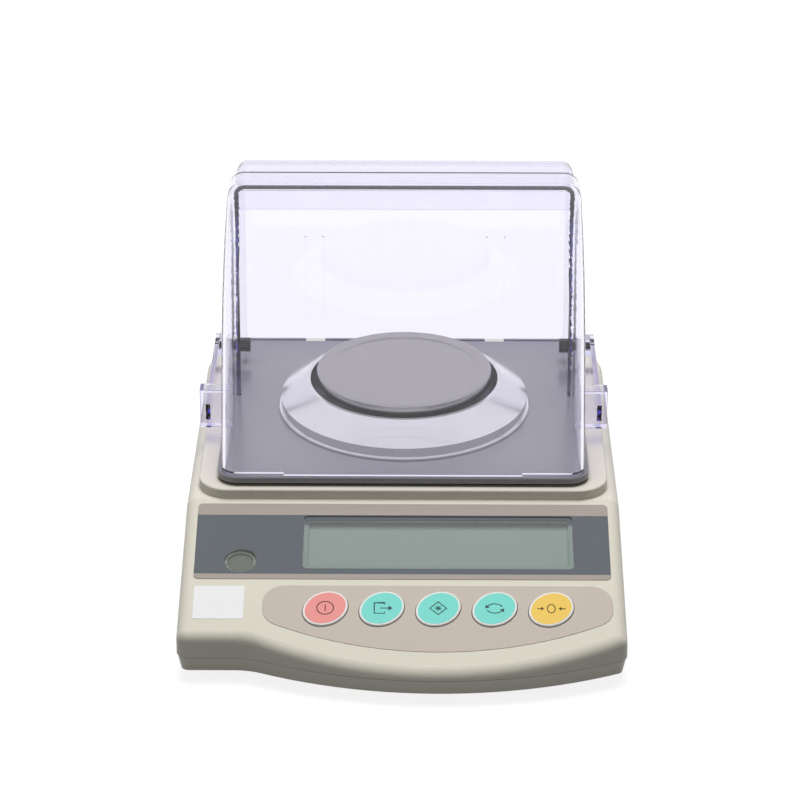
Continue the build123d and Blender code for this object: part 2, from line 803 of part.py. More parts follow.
# Lower case: shallow tray with a locating lip, foot wells, bosses and posts
foot_centres = list(foot_places.values())
with BuildPart() as lower_case:
    with BuildSketch(Plane.XY.offset(parting_z)):
        add(case_plan(parting_gap))
    extrude(amount=-(parting_z - case_floor_z), taper=lower_draft)
    with BuildSketch(Plane.XY.offset(inner_floor_z)):
        add(case_plan(2 * wall))
    extrude(amount=parting_z, mode=Mode.SUBTRACT)
    with BuildSketch(Plane.XY.offset(inner_floor_z)):
        add(case_plan(wall + lip_gap))
        add(case_plan(2 * wall), mode=Mode.SUBTRACT)
    extrude(amount=parting_z + lip_height - inner_floor_z)
    with BuildSketch(Plane.XY.offset(case_floor_z)):
        add(rounds(well_radius + well_wall, foot_centres))
    extrude(amount=well_top_z + well_wall - case_floor_z)
    with BuildSketch(Plane.XY.offset(case_floor_z)):
        add(rounds(stud_radius + foot_fit + foot_boss_wall, foot_centres))
    extrude(amount=stud_top_z - case_floor_z)
    with BuildSketch(Plane.XY.offset(inner_floor_z)):
        add(rounds(case_boss_radius, case_screw_places))
    extrude(amount=case_boss_top_z - inner_floor_z)
    with BuildSketch(Plane.XY.offset(inner_floor_z)):
        add(rounds(board_post_radius, main_post_places))
    extrude(amount=main_board_standoff)
    with BuildSketch(Plane.XY.offset(inner_floor_z)):
        add(rounds(stop_boss_radius, [(0, stop_y)]))
    extrude(amount=stop_boss_height)
    with BuildSketch(Plane.XY.offset(case_floor_z)):
        add(rounds(well_radius, foot_centres))
    extrude(amount=well_top_z - case_floor_z, mode=Mode.SUBTRACT)
    with BuildSketch(Plane.XY.offset(well_top_z)):
        add(rounds(stud_radius + foot_fit, foot_centres))
    extrude(amount=stud_length + foot_gap, mode=Mode.SUBTRACT)
    with BuildSketch(Plane.XY.offset(case_floor_z)):
        add(rounds(case_screw_radius + screw_hole_gap, case_screw_places))
    extrude(amount=case_boss_top_z, mode=Mode.SUBTRACT)
    with BuildSketch(Plane.XY.offset(case_floor_z)):
        add(rounds(case_screw_head_radius + screw_hole_gap, case_screw_places))
    extrude(amount=case_screw_seat_z - case_floor_z, mode=Mode.SUBTRACT)
    with BuildSketch(Plane.XY.offset(main_board_z)):
        add(rounds(board_screw_radius + screw_hole_gap, main_post_places))
    extrude(amount=-board_screw_bite - screw_end_gap, mode=Mode.SUBTRACT)
    with BuildSketch(Plane.XY.offset(inner_floor_z)):
        add(rounds(small_screw_radius + screw_hole_gap, bracket_screw_places))
    extrude(amount=-bracket_screw_bite - screw_end_gap, mode=Mode.SUBTRACT)
    with BuildSketch(Plane.XY.offset(stop_boss_z)):
        add(rounds(stop_radius + screw_hole_gap, [(0, stop_y)]))
    extrude(amount=-stop_boss_height, mode=Mode.SUBTRACT)
save(lower_case, "lower_case")

with BuildPart() as case_screws:
    add(
        screw_set(
            Plane.XY.offset(case_screw_seat_z),
            case_screw_places,
            case_screw_radius,
            case_screw_length,
            case_screw_head_radius,
            case_screw_head_height,
            side=-1,
        )
    )
save(case_screws, "case_screws")

# Display: printed sheet with a clear window, glass panel under it in a frame on the board
with BuildPart() as display_overlay:
    with BuildSketch(deck_plane.offset(-sheet_recess)):
        add(panel_plan(0))
        add(window_plan(0), mode=Mode.SUBTRACT)
        add(rounds(level_radius + window_gap, [level_place]), mode=Mode.SUBTRACT)
    extrude(amount=sheet_thickness)
save(display_overlay, "display_overlay")

with BuildPart() as display_window:
    with BuildSketch(deck_plane.offset(-sheet_recess)):
        add(window_plan(-window_gap))
    extrude(amount=sheet_thickness)
save(display_window, "display_window")

with BuildPart() as lcd_panel:
    with BuildSketch(deck_plane.offset(lcd_top)):
        with Locations(window_middle):
            Rectangle(window_width + 2 * lcd_margin, window_height + 2 * lcd_margin)
    extrude(amount=-lcd_thickness)
save(lcd_panel, "lcd_panel")

with BuildPart() as lcd_frame:
    with BuildSketch(deck_plane.offset(-display_board_depth)):
        with Locations(window_middle):
            Rectangle(
                window_width + 2 * (lcd_margin + lcd_frame_wall),
                window_height + 2 * (lcd_margin + lcd_frame_wall),
            )
            Rectangle(window_width, window_height, mode=Mode.SUBTRACT)
    extrude(amount=display_board_depth + lcd_top)
    with BuildSketch(deck_plane.offset(lcd_top)):
        with Locations(window_middle):
            Rectangle(
                window_width + 2 * (lcd_margin + window_gap),
                window_height + 2 * (lcd_margin + window_gap),
            )
    extrude(amount=-lcd_thickness, mode=Mode.SUBTRACT)
save(lcd_frame, "lcd_frame")

# Keys: oval caps held from below by a flange, each with a stem over its switch
with BuildPart() as key_overlay:
    with BuildSketch(deck_plane.offset(-sheet_recess)):
        add(key_panel_plan(0))
        add(key_ovals(key_clearance, key_places), mode=Mode.SUBTRACT)
    extrude(amount=sheet_thickness)
save(key_overlay, "key_overlay")

for key_name, key_place in zip(key_names, key_places):
    with BuildPart() as key:
        with BuildSketch(deck_plane.offset(flange_top)):
            add(key_ovals(0, [key_place]))
        extrude(amount=key_proud - flange_top)
        fillet(key.faces().sort_by(Axis.Z)[-1].edges(), key_edge_radius)
        with BuildSketch(deck_plane.offset(flange_top)):
            add(key_ovals(key_clearance + key_flange, [key_place]))
        extrude(amount=-key_flange_thickness)
        with BuildSketch(deck_plane.offset(flange_top)):
            add(rounds(key_stem_radius, [key_place]))
        extrude(amount=stem_end - flange_top)
    save(key, key_name)

with BuildPart() as key_switches:
    with BuildSketch(deck_plane.offset(-display_board_depth)):
        with Locations(*key_places):
            Rectangle(switch_side, switch_side)
    extrude(amount=switch_height)
    with BuildSketch(deck_plane.offset(switch_top)):
        add(rounds(plunger_radius, key_places))
    extrude(amount=plunger_height)
save(key_switches, "key_switches")

# Boards with their screws and parts
with BuildPart() as display_board:
    with BuildSketch(deck_plane.offset(-display_board_depth)):
        with Locations(display_board_middle):
            Rectangle(display_board_width, display_board_height)
        add(rounds(board_hole_radius, display_post_places), mode=Mode.SUBTRACT)
    extrude(amount=-board_thickness)
save(display_board, "display_board")

with BuildPart() as main_board:
    with BuildSketch(Plane.XY.offset(main_board_z)):
        with Locations(main_board_middle):
            Rectangle(
                main_board_right_x - main_board_left_x, main_board_rear_y - main_board_front_y
            )
        add(rounds(board_hole_radius, main_post_places), mode=Mode.SUBTRACT)
    extrude(amount=board_thickness)
save(main_board, "main_board")

with BuildPart() as board_screws:
    add(
        screw_set(
            deck_plane.offset(-display_board_depth - board_thickness),
            display_post_places,
            board_screw_radius,
            board_thickness + board_screw_bite,
            board_screw_head_radius,
            board_screw_head_height,
            side=-1,
        )
    )
    add(
        screw_set(
            Plane.XY.offset(main_board_top_z),
            main_post_places,
            board_screw_radius,
            board_thickness + board_screw_bite,
            board_screw_head_radius,
            board_screw_head_height,
        )
    )
save(board_screws, "board_screws")

with BuildPart() as board_parts:
    with BuildSketch(Plane.XY.offset(main_board_top_z)):
        with Locations(processor_place):
            Rectangle(processor_side, processor_side)
        with Locations(converter_place):
            Rectangle(converter_side, converter_side)
    extrude(amount=processor_height)
    with BuildSketch(Plane.XY.offset(main_board_top_z)):
        add(rounds(capacitor_radius, capacitor_places))
    extrude(amount=capacitor_height)
save(board_parts, "board_parts")

# Round spirit level let into the deck
cup_top = level_proud - level_window_thickness
with BuildPart() as level_cup:
    with BuildSketch(deck_plane.offset(-level_depth)):
        add(rounds(level_radius, [level_place]))
    extrude(amount=level_depth + cup_top)
    with BuildSketch(deck_plane.offset(-wall - level_flange_gap)):
        add(rounds(level_flange_radius, [level_place]))
    extrude(amount=-level_flange_thickness)
    with BuildSketch(deck_plane.offset(cup_top)):
        add(rounds(level_radius - level_wall, [level_place]))
    extrude(amount=-(level_depth + cup_top - level_wall), mode=Mode.SUBTRACT)
save(level_cup, "level_cup")

with BuildPart() as level_vial:
    with BuildSketch(deck_plane.offset(level_wall - level_depth)):
        add(rounds(level_radius - level_wall - vial_fit, [level_place]))
    extrude(amount=vial_height)
save(level_vial, "level_vial")

with BuildPart() as level_window:
    with BuildSketch(deck_plane.offset(cup_top)):
        add(rounds(level_radius, [level_place]))
    extrude(amount=level_window_thickness)
save(level_window, "level_window")

# Hood plate on four pegged spacers
with BuildPart() as base_plate:
    with BuildSketch(Plane.XY.offset(plate_top_z - plate_rim_height)) as plate_outline:
        with Locations((0, (plate_front_y + plate_rear_y) / 2)):
            Rectangle(plate_width, plate_rear_y - plate_front_y)
        fillet(plate_outline.vertices().group_by(Axis.Y)[0], plate_front_radius)
        fillet(plate_outline.vertices().group_by(Axis.Y)[-1], plate_rear_radius)
    extrude(amount=plate_rim_height)
    fillet(base_plate.faces().sort_by(Axis.Z)[-1].edges(), plate_edge_radius)
    with BuildSketch(Plane.XY.offset(plate_top_z - plate_rim_height)):
        add(plate_outline.sketch)
        offset(amount=-plate_rim_wall, mode=Mode.REPLACE)
    extrude(amount=plate_rim_height - plate_thickness, mode=Mode.SUBTRACT)
    with BuildSketch(Plane.XY.offset(plate_top_z)):
        add(rounds(plate_opening_radius, [(0, pan_axis_y)]))
        notch_front_y = shell_rear_y - shell_wall - tongue_gap
        with Locations(*[(side * tongue_x, notch_front_y + shell_wall) for side in (-1, 1)]):
            Rectangle(tongue_width + 2 * tongue_gap, 2 * shell_wall)
        with Locations(*[(side * tongue_x, plate_rear_y) for side in (-1, 1)]):
            Rectangle(tongue_width + 2 * tongue_gap, 2 * plate_rim_wall)
    extrude(amount=-plate_rim_height, mode=Mode.SUBTRACT)
save(base_plate, "base_plate")

with BuildPart() as plate_spacers:
    with BuildSketch(Plane.XY.offset(plateau_z)):
        add(rounds(spacer_radius, spacer_places))
    extrude(amount=plate_lift - plate_thickness)
    with BuildSketch(Plane.XY.offset(plateau_z)):
        add(rounds(spacer_peg_radius, spacer_places))
    extrude(amount=-spacer_peg_length)
save(plate_spacers, "plate_spacers")

# Rear shell of the hood: clear, open to the front, hooked under the plate by two tongues
with BuildPart() as shell_limits:
    with BuildSketch(hood_side):
        with BuildLine():
            Polyline(
                (shell_front_y, 0),
                (shell_rear_y + overrun, 0),
                (shell_rear_y + overrun, shell_height + overrun),
                (shell_front_y, shell_height + overrun),
                close=True,
            )
        make_face()
    extrude(amount=body_width, both=True)

with BuildPart() as rear_shell:
    add(shell_form(0))
    add(shell_form(shell_wall), mode=Mode.SUBTRACT)
    add(shell_limits.part, mode=Mode.INTERSECT)
    for side in (-1, 1):
        with BuildSketch(Plane.XY.offset(plate_top_z)):
            with Locations((side * tongue_x, shell_rear_y - shell_wall / 2)):
                Rectangle(tongue_width, shell_wall)
        extrude(amount=-plate_rim_height)
        with BuildSketch(Plane.XY.offset(plate_top_z - plate_rim_height)):
            with Locations((side * tongue_x, shell_rear_y - (shell_wall + hook_reach) / 2)):
                Rectangle(tongue_width, shell_wall + hook_reach)
        extrude(amount=-hook_thickness)
        with BuildSketch(Plane.XY.offset(plate_top_z)):
            for edge_x in (side * tongue_x - tongue_width / 2, side * tongue_x + tongue_width / 2):
                with Locations((edge_x, shell_rear_y - shell_wall)):
                    Rectangle(shell_rib_depth, 2 * shell_rib_depth)
        extrude(amount=shell_rib_height)
    with BuildSketch(Plane.YZ):
        with Locations((pivot_y, pivot_z)):
            Circle(pin_radius + screw_hole_gap)
    extrude(amount=body_width / 2, both=True, mode=Mode.SUBTRACT)

with BuildPart() as valance:
    add(shell_form(0))
    with BuildSketch(hood_side):
        with BuildLine():
            Polyline(
                (shell_front_y, shell_height - valance_height),
                (shell_front_y + valance_thickness, shell_height - valance_height),
                (shell_front_y + valance_thickness, shell_height + overrun),
                (shell_front_y, shell_height + overrun),
                close=True,
            )
        make_face()
    extrude(amount=body_width, both=True, mode=Mode.INTERSECT)

with BuildPart() as joined_shell:
    add(rear_shell.part)
    add(valance.part)
save(joined_shell, "rear_shell")

# Door of the hood: clear, with a grip tab and a pivot arm on each side
door_bottom = door_seat_gap + door_lip_drop
with BuildPart() as door_limits:
    with BuildSketch(hood_side):
        with BuildLine():
            Polyline(
                (door_front_y - wall, door_bottom),
                (door_rear_bottom_y, door_bottom),
                (door_rear_top_y, door_top_height),
                (door_rear_top_y, door_top_height + overrun),
                (door_front_y - wall, door_top_height + overrun),
                close=True,
            )
        make_face()
    extrude(amount=body_width, both=True)
    with BuildSketch(hood_side):
        with BuildLine():
            Polyline(
                (door_front_y - wall, door_seat_gap),
                (door_straight_y, door_seat_gap),
                (door_straight_y, door_bottom),
                (door_front_y - wall, door_bottom),
                close=True,
            )
        make_face()
    extrude(amount=door_lip_width / 2, both=True)

with BuildPart() as door:
    add(door_form(0))
    add(door_form(door_wall), mode=Mode.SUBTRACT)
    add(door_limits.part, mode=Mode.INTERSECT)
    tab_inner_x = (door_width - door_wall) / 2
    tab_middle_y = tab_front_y + tab_depth / 2
    tab_low_z = plate_top_z + tab_bottom
    for side in (-1, 1):
        with BuildSketch(Plane.XY.offset(tab_low_z)):
            with Locations((side * (tab_inner_x + tab_outer_x) / 2, tab_middle_y)):
                Rectangle(tab_outer_x - tab_inner_x, tab_depth)
        extrude(amount=tab_height)
        with BuildSketch(Plane.XY.offset(tab_low_z + tab_wall)):
            with Locations((side * (door_width / 2 + tab_outer_x - tab_wall) / 2, tab_middle_y + tab_wall)):
                Rectangle(tab_outer_x - tab_wall - door_width / 2, tab_depth)
        extrude(amount=tab_height - 2 * tab_wall, mode=Mode.SUBTRACT)
        with BuildSketch(Plane.XY.offset(pivot_z - arm_half_height)):
            with Locations((side * arm_centre_x, (tab_front_y + tab_wall + pivot_y) / 2)):
                Rectangle(arm_thickness, pivot_y - tab_front_y - tab_wall)
        extrude(amount=2 * arm_half_height)
        with BuildSketch(Plane.YZ.offset(side * boss_inner_x)):
            with Locations((pivot_y, pivot_z)):
                Circle(boss_radius)
        extrude(amount=side * (arm_outer_x - boss_inner_x))
        with BuildSketch(Plane.YZ.offset(side * boss_inner_x)):
            with Locations((pivot_y, pivot_z)):
                Circle(pin_radius + pin_fit)
        extrude(amount=side * (arm_outer_x - boss_inner_x), mode=Mode.SUBTRACT)
        with BuildSketch(Plane.YZ.offset(side * (pin_head_x - pin_end_gap))):
            with Locations((pivot_y, pivot_z)):
                Circle(pin_head_radius + pin_end_gap)
        extrude(amount=side * (pin_head_thickness + pin_end_gap), mode=Mode.SUBTRACT)
save(door, "door")

# Pivot pins with their shoulders against the shell, and the nuts inside it
nut_face_x = shell_width / 2 - shell_wall - tongue_gap / 4
with BuildPart() as pivot_pins:
    with BuildSketch(pivot_section):
        with BuildLine():
            Polyline(
                (nut_face_x - nut_thickness, 0),
                (pin_head_x + pin_head_thickness, 0),
                (pin_head_x + pin_head_thickness, pin_head_radius),
                (pin_head_x, pin_head_radius),
                (pin_head_x, pin_radius),
                (shell_width / 2 + pin_shoulder_length, pin_radius),
                (shell_width / 2 + pin_shoulder_length, pin_shoulder_radius),
                (shell_width / 2, pin_shoulder_radius),
                (shell_width / 2, pin_radius),
                (nut_face_x - nut_thickness, pin_radius),
                close=True,
            )
        make_face()
    revolve(axis=pivot_axis)
    mirror(about=Plane.YZ)
save(pivot_pins, "pivot_pins")

with BuildPart() as pivot_nuts:
    with BuildSketch(Plane.YZ.offset(nut_face_x)):
        with Locations((pivot_y, pivot_z)):
            RegularPolygon(nut_across_flats / 2, 6, major_radius=False)
            Circle(pin_radius + screw_hole_gap / 2, mode=Mode.SUBTRACT)
    extrude(amount=-nut_thickness)
    mirror(about=Plane.YZ)
save(pivot_nuts, "pivot_nuts")

# Draft ring: turned ring with a sloping shoulder, loose on the hood plate
ring_slope = (ring_top - ring_shoulder_height) / (ring_shoulder_radius - ring_top_radius)
ring_drop = ring_wall * math.hypot(1, ring_slope)
with BuildPart() as draft_ring:
    with BuildSketch(pan_section):
        with BuildLine():
            Polyline(
                (ring_foot_radius, ring_seat_gap),
                (ring_foot_radius, ring_seat_gap + ring_foot_thickness),
                (ring_shoulder_radius, ring_seat_gap + ring_foot_thickness),
                (ring_shoulder_radius, ring_shoulder_height),
                (ring_top_radius, ring_top),
                (ring_top_radius - ring_wall, ring_top),
                (ring_top_radius - ring_wall, ring_top + ring_wall * ring_slope - ring_drop),
                (
                    ring_shoulder_radius - ring_wall,
                    ring_shoulder_height + ring_wall * ring_slope - ring_drop,
                ),
                (ring_shoulder_radius - ring_wall, ring_seat_gap),
                close=True,
            )
        make_face()
    revolve(axis=pan_axis)
save(draft_ring, "draft_ring")

# Pan with a turned-down rim and a hub that drops over the support
pan_under = pan_top - pan_recess_depth - pan_sheet
with BuildPart() as pan:
    with BuildSketch(pan_section) as pan_outline:
        with BuildLine():
            Polyline(
                (0, pan_top - pan_recess_depth),
                (pan_recess_radius - pan_recess_depth, pan_top - pan_recess_depth),
                (pan_recess_radius, pan_top),
                (pan_radius, pan_top),
                (pan_radius, pan_top - pan_rim_height),
                (pan_radius - pan_sheet, pan_top - pan_rim_height),
                (pan_radius - pan_sheet, pan_under),
                (pan_hub_radius, pan_under),
                (pan_hub_radius, pan_hub_bottom),
                (pan_bore_radius, pan_hub_bottom),
                (pan_bore_radius, pan_hub_bottom + pan_bore_depth),
                (0, pan_hub_bottom + pan_bore_depth),
                close=True,
            )
        make_face()
        fillet(pan_outline.vertices().sort_by_distance((pan_radius, pan_top))[0], pan_edge_radius)
    revolve(axis=pan_axis)
save(pan, "pan")

# Pan support: flanged stem on the weighing cell, with a collar and a spigot for the pan
cell_top = cell_top_z - plate_top_z
collar_top = pan_hub_bottom - support_seat_gap
spigot_radius = pan_bore_radius - support_spigot_fit
with BuildPart() as pan_support:
    with BuildSketch(pan_section):
        with BuildLine():
            Polyline(
                (0, cell_top),
                (support_flange_radius, cell_top),
                (support_flange_radius, cell_top + support_flange_thickness),
                (support_radius, cell_top + support_flange_thickness),
                (support_radius, collar_top - support_collar_thickness),
                (support_collar_radius, collar_top - support_collar_thickness),
                (support_collar_radius, collar_top),
                (spigot_radius, collar_top),
                (spigot_radius, pan_hub_bottom + pan_bore_depth - support_seat_gap),
                (0, pan_hub_bottom + pan_bore_depth - support_seat_gap),
                close=True,
            )
        make_face()
    revolve(axis=pan_axis)
    with BuildSketch(Plane.XY.offset(cell_top_z)):
        add(rounds(small_screw_radius + screw_hole_gap, support_screw_places))
    extrude(amount=support_flange_thickness, mode=Mode.SUBTRACT)
save(pan_support, "pan_support")

# Weighing cell: bending block with two holes joined by a slot, held at its rear end
with BuildPart() as weighing_cell:
    with BuildSketch(Plane.YZ):
        with Locations((cell_middle_y, cell_bottom_z + cell_height / 2)):
            Rectangle(cell_rear_y - cell_front_y, cell_height)
        hole_z = cell_bottom_z + cell_height / 2
        with Locations((cell_hole_front_y, hole_z), (cell_hole_rear_y, hole_z)):
            Circle(cell_hole_radius, mode=Mode.SUBTRACT)
        with Locations(((cell_hole_front_y + cell_hole_rear_y) / 2, hole_z)):
            Rectangle(cell_hole_rear_y - cell_hole_front_y, cell_slot, mode=Mode.SUBTRACT)
    extrude(amount=cell_width / 2, both=True)
    with BuildSketch(Plane.XY.offset(cell_top_z)):
        add(rounds(cell_screw_radius + screw_hole_gap, cell_screw_places))
    extrude(amount=-cell_height, mode=Mode.SUBTRACT)
    with BuildSketch(Plane.XY.offset(cell_top_z)):
        add(rounds(small_screw_radius + screw_hole_gap, support_screw_places))
    extrude(amount=-cell_screw_bite - screw_end_gap, mode=Mode.SUBTRACT)
save(weighing_cell, "weighing_cell")

with BuildPart() as cell_bracket:
    with BuildSketch(Plane.XY.offset(inner_floor_z)):
        with Locations((0, cell_fixing_y)):
            Rectangle(bracket_width, bracket_length)
        add(rounds(small_screw_radius + screw_hole_gap, bracket_screw_places), mode=Mode.SUBTRACT)
    extrude(amount=bracket_foot)
    with BuildSketch(Plane.XY.offset(inner_floor_z)):
        with Locations((0, cell_fixing_y)):
            Rectangle(bracket_block_width, bracket_block_length)
    extrude(amount=cell_bottom_z - inner_floor_z)
    with BuildSketch(Plane.XY.offset(cell_bottom_z)):
        add(rounds(cell_screw_radius + screw_hole_gap, cell_screw_places))
    extrude(amount=-cell_screw_bite - screw_end_gap, mode=Mode.SUBTRACT)
save(cell_bracket, "cell_bracket")

with BuildPart() as cell_screws:
    add(
        screw_set(
            Plane.XY.offset(cell_top_z),
            cell_screw_places,
            cell_screw_radius,
            cell_height + cell_screw_bite,
            cell_screw_head_radius,
            cell_screw_head_height,
        )
    )
    for seat_z, places, length in (
        (
            cell_top_z + support_flange_thickness,
            support_screw_places,
            support_flange_thickness + cell_screw_bite,
        ),
        (inner_floor_z + bracket_foot, bracket_screw_places, bracket_foot + bracket_screw_bite),
    ):
        add(
            screw_set(
                Plane.XY.offset(seat_z),
                places,
                small_screw_radius,
                length,
                small_screw_head_radius,
                small_screw_head_height,
            )
        )
save(cell_screws, "cell_screws")

with BuildPart() as overload_stop:
    with BuildSketch(Plane.XY.offset(inner_floor_z + screw_end_gap)):
        add(rounds(stop_radius, [(0, stop_y)]))
    extrude(amount=cell_bottom_z - stop_gap - inner_floor_z - screw_end_gap)
    with BuildSketch(Plane.XY.offset(stop_boss_z)):
        with Locations((0, stop_y)):
            RegularPolygon(stop_nut_across_flats / 2, 6, major_radius=False)
            Circle(stop_radius + screw_hole_gap / 2, mode=Mode.SUBTRACT)
    extrude(amount=stop_nut_thickness)
save(overload_stop, "overload_stop")

# Levelling feet: rubber pad on a pin, and a fluted wheel with its stud in the case
for foot_name, foot_place in foot_places.items():
    with BuildPart() as foot_pad:
        with BuildSketch(Plane.XY):
            add(rounds(pad_radius, [foot_place]))
        extrude(amount=pad_height)
        with BuildSketch(Plane.XY.offset(pad_height)):
            add(rounds(pad_pin_radius, [foot_place]))
        extrude(amount=pad_pin_length)
    save(foot_pad, f"foot_pad_{foot_name}")

    with BuildPart() as foot_wheel:
        with BuildSketch(Plane.XY.offset(wheel_bottom_z)):
            with Locations(foot_place):
                Circle(wheel_radius)
                with PolarLocations(wheel_radius, wheel_flutes):
                    Circle(wheel_flute_radius, mode=Mode.SUBTRACT)
        extrude(amount=wheel_height)
        with BuildSketch(Plane.XY.offset(wheel_top_z)):
            add(rounds(stud_radius, [foot_place]))
        extrude(amount=stud_length)
        with BuildSketch(Plane.XY.offset(wheel_bottom_z)):
            add(rounds(pad_pin_radius + foot_fit, [foot_place]))
        extrude(amount=pad_pin_length, mode=Mode.SUBTRACT)
    save(foot_wheel, f"foot_wheel_{foot_name}")

# Rear sockets on the main board
with BuildPart() as power_inlet:
    with BuildSketch(Plane.XZ.offset(-socket_face_y)):
        with Locations((inlet_x, inlet_z)):
            Rectangle(inlet_width, inlet_height)
    extrude(amount=inlet_depth)
    with BuildSketch(Plane.XZ.offset(-socket_face_y)):
        with Locations((inlet_x, inlet_z)):
            Circle(inlet_bore_radius)
    extrude(amount=inlet_bore_depth, mode=Mode.SUBTRACT)
save(power_inlet, "power_inlet")

with BuildPart() as inlet_pin:
    with BuildSketch(Plane.XZ.offset(inlet_bore_depth - socket_face_y)):
        with Locations((inlet_x, inlet_z)):
            Circle(inlet_pin_radius)
    extrude(amount=-inlet_pin_length)
save(inlet_pin, "inlet_pin")


def serial_outline(growth):
    """Tapered outline of the serial socket's shell."""
    with BuildSketch() as outline:
        with Locations((serial_x, serial_z)):
            Trapezoid(
                serial_shell_width + 2 * growth,
                serial_shell_height + 2 * growth,
                90 - serial_shell_slope,
                rotation=180,
            )
        fillet(outline.vertices(), serial_shell_corner + growth)
    return outline.sketch


serial_rear = Plane.XZ.offset(-serial_face_y)
with BuildPart() as serial_socket:
    with BuildSketch(serial_rear):
        with Locations((serial_x, serial_z)):
            Rectangle(serial_width, serial_height)
    extrude(amount=serial_flange)
    with BuildSketch(serial_rear):
        with Locations((serial_x, serial_z)):
            Rectangle(serial_body_width, serial_body_height)
    extrude(amount=serial_depth)
    with BuildSketch(serial_rear):
        add(serial_outline(0))
        add(serial_outline(-serial_shell_wall), mode=Mode.SUBTRACT)
    extrude(amount=-serial_shell_reach)
save(serial_socket, "serial_socket")

with BuildPart() as serial_pins:
    with BuildSketch(serial_rear):
        for pin_count, row_z in (
            (serial_upper_pin_count, serial_z + serial_pin_rise),
            (serial_lower_pin_count, serial_z - serial_pin_rise),
        ):
            with Locations((serial_x, row_z)):
                with GridLocations(serial_pin_pitch, 0, pin_count, 1):
                    Circle(serial_pin_radius)
    extrude(amount=-serial_pin_reach)
save(serial_pins, "serial_pins")

with BuildPart() as jackscrews:
    with BuildSketch(serial_rear):
        with Locations((serial_x, serial_z)):
            with GridLocations(jackscrew_spacing, 0, 2, 1):
                RegularPolygon(jackscrew_across_flats / 2, 6, major_radius=False)
    extrude(amount=-jackscrew_length)
save(jackscrews, "jackscrews")
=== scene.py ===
"""Looks of the carat balance: materials, printed keys and display, sticker, studio and camera.

Metres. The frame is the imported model: the front faces -Y and +Z is up.
"""
import json
import math

import bmesh
import bpy
from mathutils import Matrix, Vector


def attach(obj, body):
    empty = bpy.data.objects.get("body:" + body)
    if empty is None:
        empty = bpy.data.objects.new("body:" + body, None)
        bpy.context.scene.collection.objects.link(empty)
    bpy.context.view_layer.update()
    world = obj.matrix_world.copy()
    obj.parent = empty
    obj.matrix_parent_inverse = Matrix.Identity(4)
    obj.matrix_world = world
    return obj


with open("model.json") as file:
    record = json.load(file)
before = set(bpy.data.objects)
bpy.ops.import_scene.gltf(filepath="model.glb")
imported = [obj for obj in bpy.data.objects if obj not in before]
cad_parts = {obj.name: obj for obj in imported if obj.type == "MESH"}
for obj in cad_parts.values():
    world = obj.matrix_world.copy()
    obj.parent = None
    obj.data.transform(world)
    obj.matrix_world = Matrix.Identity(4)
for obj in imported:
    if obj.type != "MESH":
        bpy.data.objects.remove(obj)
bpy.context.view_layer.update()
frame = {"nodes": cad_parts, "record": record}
nodes = frame["nodes"]
MM = 0.001

# Sizes and places from the solid model
DECK_ANGLE = math.radians(20)
DECK_REAR = Vector((0, -34 * MM, 46.2 * MM))
DECK_UP_SLOPE = Vector((0, math.cos(DECK_ANGLE), math.sin(DECK_ANGLE)))
DECK_NORMAL = Vector((0, -math.sin(DECK_ANGLE), math.cos(DECK_ANGLE)))
KEY_PROUD = 1.0 * MM
KEY_TILT = math.radians(42)
KEY_HALF_LENGTH = 9.8 * MM
KEY_HALF_BREADTH = 8.3 * MM
KEY_RUN = 60.4 * MM
KEY_FIRST_X = -31.0 * MM
KEY_PITCH = 22.85 * MM
PAN_AXIS_Y = 39.5 * MM
WINDOW_SIZE = Vector((111.2, 28.8)) * MM
WINDOW_MIDDLE = Vector((14.75, 24.05)) * MM
WINDOW_LEDGE = 1.9 * MM

# Printing, painted shade at the top of the display, and sticker; runs measured down the slope from
# the top of the deck
BAND_TOP_RUN = 9.3 * MM
BAND_LOW_RUN = 41.6 * MM
# Painted shade of the window's recess over the top of the display: full down to the first run, gone
# by the second
LCD_PAINTED_SHADE_RUN = 13.0 * MM
LCD_PAINTED_SHADE_END_RUN = 15.5 * MM
WINDOW_PRINT_RISE = -0.5 * MM
KEY_BORDER = 0.9 * MM
FACE_THICKNESS = 0.06 * MM
SIGN_THICKNESS = 0.05 * MM
SIGN_SCALE = 1.25
LINE = 0.34 * MM
THIN_LINE = LINE * 0.8
ARROW_FLATTENING = 0.75
ZERO_NARROWING = 0.72
MITRE_LIMIT = 0.5
INK_SHARE = 0.09
STICKER_WIDTH = 20.4 * MM
STICKER_HEIGHT = 17.4 * MM
STICKER_RADIUS = 0.5 * MM
STICKER_THICKNESS = 0.12 * MM
STICKER_X = -74.4 * MM
STICKER_RUN = 56.8 * MM

# Colours of the display, the boards and the green keys
LCD_COLOR = (0.29, 0.34, 0.325)
# Painted shade of the window's recess along the upper edge of the display
LCD_PAINTED_SHADE_COLOR = (0.12, 0.13, 0.16)
BOARD_COLOR = (0.015, 0.14, 0.05)
BOARD_TRACK_COLOR = (0.04, 0.25, 0.09)
GREEN_KEY = (0.20, 0.68, 0.60)
WHITE = (1, 1, 1)

# Clear plastic
ACRYLIC_IOR = 1.49
COVER_IOR = 1.45
SHADOW_TINT = (0.97, 0.97, 0.985)

# Studio: distances from the middle of the floor, and levels, of which 1 shows as white
FLOOR_SIZE = 12
FLOOR_COLOR = (0.22, 0.22, 0.22)
BACKDROP_NEAR = 0.3
BACKDROP_FAR = 0.9
BACKDROP_NEAR_LEVEL = 0.85
BACKDROP_FAR_LEVEL = 0.97
WORLD_LIGHT_LEVEL = 0.12
WORLD_SEEN_LEVEL = 1.0
WORLD_MIRRORED_SHARE = 0.9

# Camera, solved from the photograph, angles in degrees
CAMERA_LENS = 134.55
CAMERA_SENSOR = 36
CAMERA_PLACE = (7.5 * MM, -1141.5 * MM, 630.1 * MM)
CAMERA_DIP = 25.9
CAMERA_TURN = 0.45

CORNERS = ((1, 1), (-1, 1), (-1, -1), (1, -1))


